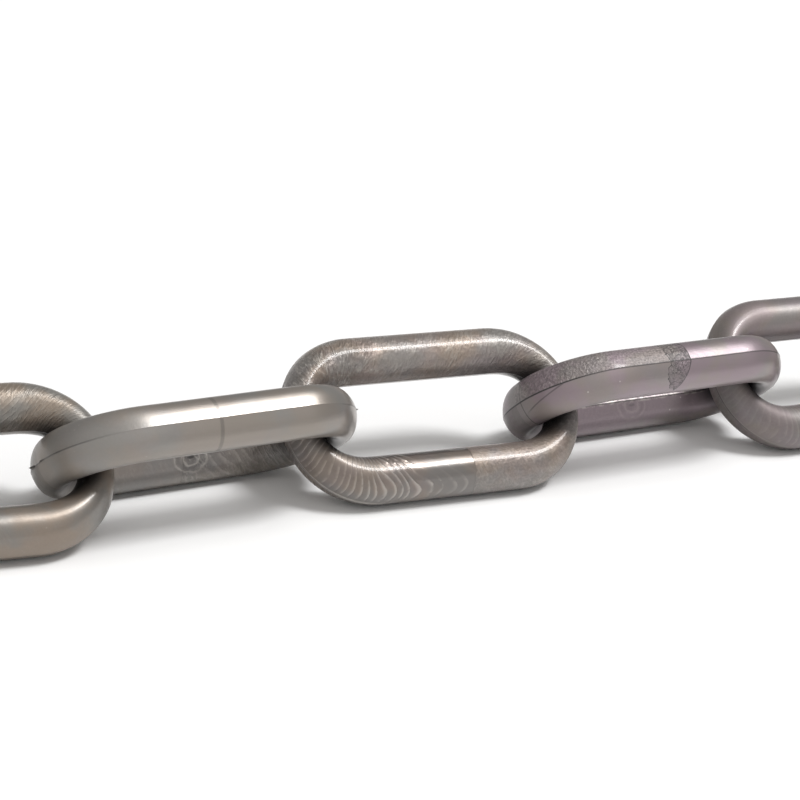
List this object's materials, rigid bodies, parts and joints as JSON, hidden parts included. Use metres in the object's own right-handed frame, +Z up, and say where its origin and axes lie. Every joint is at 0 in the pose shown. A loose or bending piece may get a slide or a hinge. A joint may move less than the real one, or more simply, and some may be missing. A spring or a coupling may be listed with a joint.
{
  "type": "plastic chain length",
  "caption": "A cut length of moulded silver-grey plastic chain with long oval links, laid on the floor and doubled back on itself.",
  "frame": {"origin": "on the floor, under the centre of the laid length", "axes": "+X along the first arm towards the bend, +Y from the second arm to the first, +Z up"},
  "size_m": [0.4702, 0.2136, 0.0221],
  "materials": {
    "plastic": "satin, metallic silver-grey pigment"
  },
  "bodies": {
    "root": {"link_01": "plastic", "link_02": "plastic", "link_03": "plastic", "link_04": "plastic", "link_05": "plastic", "link_06": "plastic", "link_07": "plastic", "link_08": "plastic", "link_09": "plastic", "link_10": "plastic", "link_11": "plastic", "link_12": "plastic", "link_13": "plastic", "link_14": "plastic", "link_15": "plastic", "link_16": "plastic", "link_17": "plastic", "link_18": "plastic", "link_19": "plastic", "link_20": "plastic", "link_21": "plastic", "link_22": "plastic", "link_23": "plastic", "link_24": "plastic", "link_25": "plastic"}
  },
  "joints": []
}
